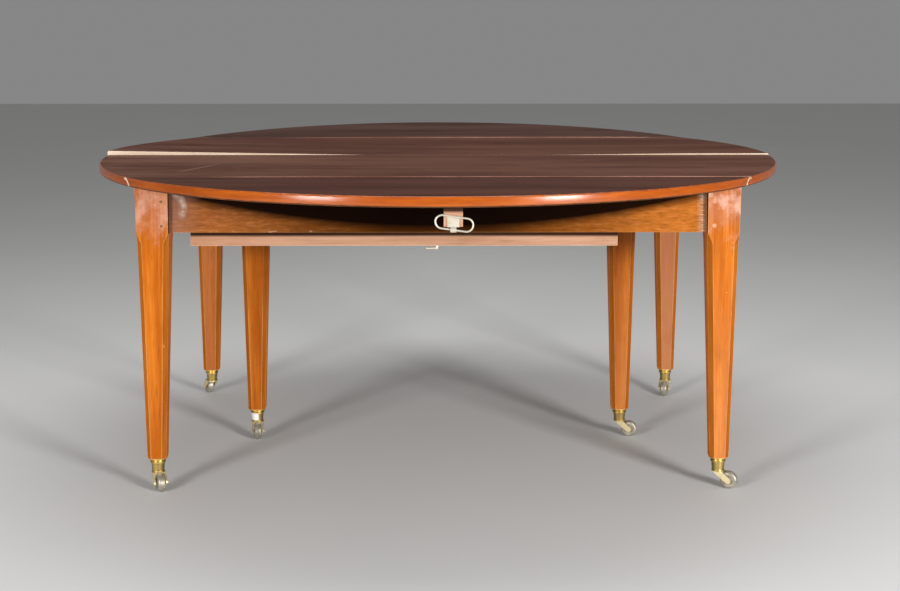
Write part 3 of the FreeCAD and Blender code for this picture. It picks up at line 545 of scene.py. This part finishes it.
def bare_paint(name, grain):
    """Pale bare wood, dry and a little stained, with painted shade behind the front apron and on the tops of the
    blocks.
    """
    paint = Paint(name)
    body, pores = grained(paint, grain, BARE_WOOD, 5.0)
    stain = paint.noise(11, 5, (1, 1, 1), 0.6, 0.3)
    colour = paint.mix(paint.span(stain, 0.52, 0.78, 0.0, 0.4), body, BARE_STAIN)
    colour = paint.mix(paint.times(paint.edges(BOARD_EDGE_WIDTH), 0.5), colour, BARE_EDGE)
    colour = paint.mix(paint.span(paint.x, BARE_LEFT_FROM, BARE_LEFT_TO, 0.0, 0.35), colour, BARE_LEFT)
    # Painted shade behind the front apron and under the leaves
    for share in painted_shade_under_parts(paint):
        colour = paint.mix(share, colour, UNDER_PARTS_SHADE)
    rough = paint.span(stain, 0.3, 0.7, 0.55, 0.72)
    paint.surface(Base_Color=colour, Roughness=rough, Specular_IOR_Level=0.05)
    paint.bump(pores, 0.2, OPEN_PORES)
    return paint


def peg_paint(name):
    """End grain of the pegs: dark at the left, chalky at the right."""
    paint = Paint(name)
    rings = paint.noise(420, 3, (1, 1, 1), 0.6)
    tone = paint.span(rings, 0.35, 0.65)
    chalky = paint.mix(tone, CHALK_DARK, CHALK_LIGHT)
    colour = paint.mix(tone, PEG_DARK, PEG_BROWN)
    colour = paint.mix(paint.span(paint.x, CHALK_FROM, CHALK_TO), colour, chalky)
    paint.surface(Base_Color=colour, Roughness=paint.span(rings, 0.3, 0.7, 0.4, 0.6))
    paint.bump(rings, 0.2, FINE_PORES)
    return paint


# Metal: bright and dull tones, and the spot of white paint on one socket, in metres
SOCKET_BRIGHT, SOCKET_DULL = (0.78, 0.56, 0.18), (0.32, 0.21, 0.045)
RING_BRIGHT, RING_DULL = (0.67, 0.61, 0.50), (0.38, 0.32, 0.23)
FORK_BRIGHT, FORK_DULL = (0.80, 0.67, 0.39), (0.52, 0.41, 0.20)
WHEEL_BRIGHT, WHEEL_DULL, WHEEL_EDGE = (0.46, 0.415, 0.335), (0.22, 0.195, 0.15), (0.86, 0.84, 0.79)
WHITE_PAINT = (0.86, 0.84, 0.80)
SPOT_PLACE = (-0.478, -0.010, 0.054)
SPOT_REACH = (0.0115, 0.0120, 0.0100)
SPOT_FADE = 0.0010


def white_spot(paint):
    """One on the spot of white paint."""
    shares = [paint.span(paint.away(value, place), reach, reach - SPOT_FADE)
              for value, place, reach in zip((paint.x, paint.y, paint.z), SPOT_PLACE, SPOT_REACH)]
    return paint.times(*shares)


def brass_paint(name, bright, dull, tarnish_share, metal=1.0, socket=False):
    """Metal with tarnish in patches and rubbed edges. Sockets are painted dark at left and right as a painted
    reflection, and one has a spot of paint.
    """
    paint = Paint(name)
    patches = paint.noise(45, 6, (1, 1, 1), 0.65, 0.6)
    fine = paint.noise(400, 4, (1, 1, 1), 0.6)
    colour = paint.mix(paint.span(patches, 0.38, 0.68, 0.0, tarnish_share), bright, dull)
    rubbed = tuple(min(1, part * 1.25) for part in bright)
    colour = paint.mix(paint.times(paint.edges(METAL_EDGE_WIDTH), 0.6), colour, rubbed)
    rough = paint.plus(paint.span(patches, 0.3, 0.7, 0.30, 0.44), paint.span(fine, 0.3, 0.7, -0.03, 0.05))
    if socket:
        facing_x, _, _ = paint.parts(paint.normal)
        # Painted dark reflection at the left and right of each socket
        painted_dark_sides = paint.span(paint.size(facing_x), 0.45, 0.90, 0.0, 0.80)
        colour = paint.mix(painted_dark_sides, colour, tuple(part * 0.6 for part in dull))
        spot = white_spot(paint)
        colour = paint.mix(spot, colour, WHITE_PAINT)
        metal = paint.span(spot, 0.0, 1.0, metal, 0.0)
        rough = paint.plus(rough, paint.times(spot, 0.3))
    paint.surface(Base_Color=colour, Metallic=metal, Roughness=rough, Coat_Weight=0.3, Coat_Roughness=0.28)
    paint.bump(fine, 0.15, METAL_SCUFFS)
    return paint


def wheel_paint(name):
    """Pale scuffed wheel metal with bright edges."""
    paint = Paint(name)
    patches = paint.noise(70, 6, (1, 1, 1), 0.7, 0.5)
    colour = paint.mix(paint.span(patches, 0.35, 0.7), WHEEL_BRIGHT, WHEEL_DULL)
    colour = paint.mix(paint.times(paint.edges(METAL_EDGE_WIDTH), 0.7), colour, WHEEL_EDGE)
    paint.surface(Base_Color=colour, Metallic=0.55, Roughness=paint.span(patches, 0.3, 0.7, 0.30, 0.52))
    paint.bump(patches, 0.2, FINE_PORES)
    return paint


# Each node takes the paint of its slot, apart from the grain or metal of a few
paints = {
    "top_wood": top_paint("top_wood"),
    "leg_wood": leg_paint("leg_wood"),
    "apron_wood": apron_paint("apron_wood"),
    "inner_wood": bare_paint("inner_wood", "x"),
    "peg_wood": peg_paint("peg_wood"),
    "brass": brass_paint("brass", SOCKET_BRIGHT, SOCKET_DULL, 0.65, socket=True),
    "old_brass": brass_paint("old_brass", RING_BRIGHT, RING_DULL, 0.6, 0.5),
    "wheel_metal": wheel_paint("wheel_metal"),
}
rail_paint = bare_paint("rail_wood", "y")
side_paint = side_apron_paint("side_apron_wood")
fork_paint = brass_paint("fork_metal", FORK_BRIGHT, FORK_DULL, 0.6, 0.6)

for part in frame["record"]["subparts"]:
    node, slot = part["node"], part["material_slot"]
    paint = paints[slot]
    if slot == "inner_wood" and ("rail" in node or "loper" in node):
        paint = rail_paint
    elif node.endswith("side_apron"):
        paint = side_paint
    elif node.endswith("caster_fork"):
        paint = fork_paint
    nodes[node].data.materials.clear()
    nodes[node].data.materials.append(paint.material)

# Pieces whose wood has moved with age, in metres
BEND_STEP = 0.03
SHARP_ANGLE = math.radians(50)
TOP_SKIN = 0.0012
BLOCK_SKIN = 0.001
SPRUNG_FROM, SPRUNG_SLOPE = 0.195, 0.0165
SPRUNG_RIGHT, SPRUNG_RIGHT_FROM, SPRUNG_RIGHT_TO = 0.0036, 0.26, 0.72
SPRUNG_DEPTH = 0.44
FRONT_PROUD, FRONT_PROUD_REACH = 0.0010, 0.10
FRONT_PROUD_FROM, FRONT_PROUD_TO = -0.65, -0.25
REAR_PROUD, REAR_PROUD_REACH = 0.0016, 0.12
REAR_PROUD_LEFT, REAR_PROUD_RIGHT = (-0.50, -0.10), (0.66, 0.50)
FRONT_LEAF_RISE, FRONT_LEAF_THICKENING = 0.0030, 0.0035
REAR_LEAF_RISE = 0.0125


def rim_normal(place):
    """Which way the flat top with its rounded, bulging rim faces at a place, nought inside its thickness."""
    radius = math.hypot(place.x, place.y)
    out = max(0, radius - RIM + RIM_ROUND)
    up = max(0, place.z - TOP + RIM_ROUND) - max(0, UNDER + RIM_ROUND - place.z)
    if out > 0:
        up += RIM_CROWN * RIM_ROUND * (2 * place.z - TOP - UNDER) / (TOP - UNDER)
    return Vector((place.x / radius * out, place.y / radius * out, up)).normalized()


def cut_finely(shape, low, high):
    """Cuts a shape every step across its length and width, so that it can bend."""
    for axis in (0, 1):
        facing = [float(axis == 0), float(axis == 1), 0]
        for index in range(1, int((high[axis] - low[axis]) / BEND_STEP)):
            place = [0, 0, 0]
            place[axis] = low[axis] + index * BEND_STEP
            everything = shape.verts[:] + shape.edges[:] + shape.faces[:]
            bmesh.ops.bisect_plane(shape, geom=everything, plane_co=place, plane_no=facing)


def sprung(name, node, body, lift):
    """A copy of a piece with its points raised by lift, shaded as a rounded rim where it has one."""
    mesh = nodes[node].data.copy()
    shape = bmesh.new()
    shape.from_mesh(mesh)
    cut_finely(shape, *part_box(node))
    shape.to_mesh(mesh)
    shape.free()
    mesh.shade_smooth()
    mesh.set_sharp_from_angle(angle=SHARP_ANGLE)
    normals = []
    for face in mesh.polygons:
        on_rim = rim_normal(face.center).dot(face.normal) > 0.9
        normals += [rim_normal(mesh.vertices[point].co) if on_rim else Vector() for point in face.vertices]
    for point in mesh.vertices:
        point.co.z += lift(point.co)
    mesh.normals_split_custom_set(normals)
    piece = bpy.data.objects.new(name, mesh)
    bpy.context.collection.objects.link(piece)
    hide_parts(node)
    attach(piece, body)


def ease(value, start, end):
    """From nought at start to one at end, smoothly."""
    share = min(1, max(0, (value - start) / (end - start)))
    return share * share * (3 - 2 * share)


def near_joint(point, reach):
    """One on the top face at a hinge line, nought at reach from it and lower down."""
    on_top = point.z > TOP - TOP_SKIN
    return on_top * max(0, 1 - abs(abs(point.y) - HINGE_LINE) / reach)


def out_along_leaf(point):
    """Nought at the hinge line, one at the rim."""
    return max(0, (abs(point.y) - HINGE_LINE) / (RIM - HINGE_LINE))


def rear_panel_lift(point):
    """The rear panel has sprung at the split, most at the left end."""
    left = max(0, -point.x - SPRUNG_FROM) * SPRUNG_SLOPE
    right = SPRUNG_RIGHT * ease(point.x, SPRUNG_RIGHT_FROM, SPRUNG_RIGHT_TO)
    return (left + right) * max(0, 1 - point.y / SPRUNG_DEPTH)


def front_panel_lift(point):
    """The front panel stands a little proud of its leaf."""
    along = ease(point.x, FRONT_PROUD_FROM, FRONT_PROUD_TO)
    return FRONT_PROUD * near_joint(point, FRONT_PROUD_REACH) * along


def front_leaf_lift(point):
    """The front leaf turns up at the rim and is thickest there."""
    height = (point.z - UNDER) / (TOP - UNDER)
    return out_along_leaf(point) * (FRONT_LEAF_RISE + FRONT_LEAF_THICKENING * height)


def rear_leaf_lift(point):
    """The rear leaf turns up at the rim and stands proud of its panel in the middle."""
    along = ease(point.x, *REAR_PROUD_LEFT) * ease(point.x, *REAR_PROUD_RIGHT)
    proud = REAR_PROUD * near_joint(point, REAR_PROUD_REACH) * along
    return REAR_LEAF_RISE * out_along_leaf(point) + proud


def block_lift(rise):
    """Only the top of the block follows the leaf."""
    return lambda point: rise * out_along_leaf(point) * (point.z > UNDER - BLOCK_SKIN)


sprung("rear_panel_sprung", "rear_top_panel", "rear_half", rear_panel_lift)
sprung("front_panel_proud", "front_top_panel", "front_half", front_panel_lift)
sprung("front_leaf_sprung", "front_leaf", "front_leaf", front_leaf_lift)
sprung("rear_leaf_sprung", "rear_leaf", "rear_leaf", rear_leaf_lift)
sprung("front_block_packed", "front_bearing_block", "front_leaf", block_lift(FRONT_LEAF_RISE))
sprung("rear_block_packed", "rear_bearing_block", "rear_leaf", block_lift(REAR_LEAF_RISE))

# Studio, in metres and watts
FLOOR_REACH = 12.0
FLOOR_DARK, FLOOR_LIGHT = (0.64, 0.64, 0.63), (0.68, 0.68, 0.67)
SIDE_SOFTBOX_SIZE, TOP_SOFTBOX_SIZE = (0.9, 1.9), (3.0, 2.0)
SIDE_TARGET, TOP_TARGET = (0, 0, 0.8), (0, 0, 0.5)
LEFT_PLACE, LEFT_POWER = (-2.65, -3.83, 1.25), 132
RIGHT_PLACE, RIGHT_POWER = (2.75, -3.83, 1.25), 218
ABOVE_PLACE, ABOVE_POWER = (0.0, 0.6, 3.6), 55
WORLD_STRENGTH = 0.24


def floor_paint():
    """Plain pale floor."""
    paint = Paint("studio_floor")
    paint.surface(Base_Color=paint.mix(paint.noise(2, 3), FLOOR_DARK, FLOOR_LIGHT), Roughness=0.7)
    return paint


def make_floor():
    """A wide plain floor under the table, which isn't part of it."""
    signs = ((-1, -1), (1, -1), (1, 1), (-1, 1))
    corners = [(x * FLOOR_REACH, y * FLOOR_REACH, 0) for x, y in signs]
    mesh = bpy.data.meshes.new("studio_floor")
    mesh.from_pydata(corners, [], [(0, 1, 2, 3)])
    mesh.materials.append(floor_paint().material)
    floor = bpy.data.objects.new("studio_floor", mesh)
    bpy.context.collection.objects.link(floor)


def area_light(name, place, target, size, power):
    """A soft rectangular lamp that faces a target."""
    data = bpy.data.lights.new(name, "AREA")
    data.shape = "RECTANGLE"
    data.size, data.size_y = size
    data.energy = power
    lamp = bpy.data.objects.new(name, data)
    lamp.location = place
    lamp.rotation_euler = (Vector(target) - Vector(place)).to_track_quat("-Z", "Y").to_euler()
    bpy.context.collection.objects.link(lamp)


make_floor()
area_light("left_softbox", LEFT_PLACE, SIDE_TARGET, SIDE_SOFTBOX_SIZE, LEFT_POWER)
area_light("right_softbox", RIGHT_PLACE, SIDE_TARGET, SIDE_SOFTBOX_SIZE, RIGHT_POWER)
area_light("top_softbox", ABOVE_PLACE, TOP_TARGET, TOP_SOFTBOX_SIZE, ABOVE_POWER)

world = bpy.data.worlds.new("studio")
world.use_nodes = True
background = world.node_tree.nodes["Background"].inputs
background["Color"].default_value = (1, 1, 1, 1)
background["Strength"].default_value = WORLD_STRENGTH
bpy.context.scene.world = world

# Camera at the photograph's angle, in metres, millimetres and radians
CAMERA_PLACE = (0.0048, -3.8282, 1.1434)
CAMERA_DOWN, CAMERA_RIGHT = 0.07, 0.0065
SENSOR_WIDTH, LENS = 36, 59.8
SHIFT_DOWN = 0.2166
camera_data = bpy.data.cameras.new("camera")
camera_data.sensor_width = SENSOR_WIDTH
camera_data.lens = LENS
camera_data.shift_y = -SHIFT_DOWN
camera = bpy.data.objects.new("camera", camera_data)
camera.location = CAMERA_PLACE
camera.rotation_euler = (math.pi / 2 - CAMERA_DOWN, 0, -CAMERA_RIGHT)
bpy.context.collection.objects.link(camera)
bpy.context.scene.camera = camera
bpy.context.scene.view_settings.view_transform = "Standard"
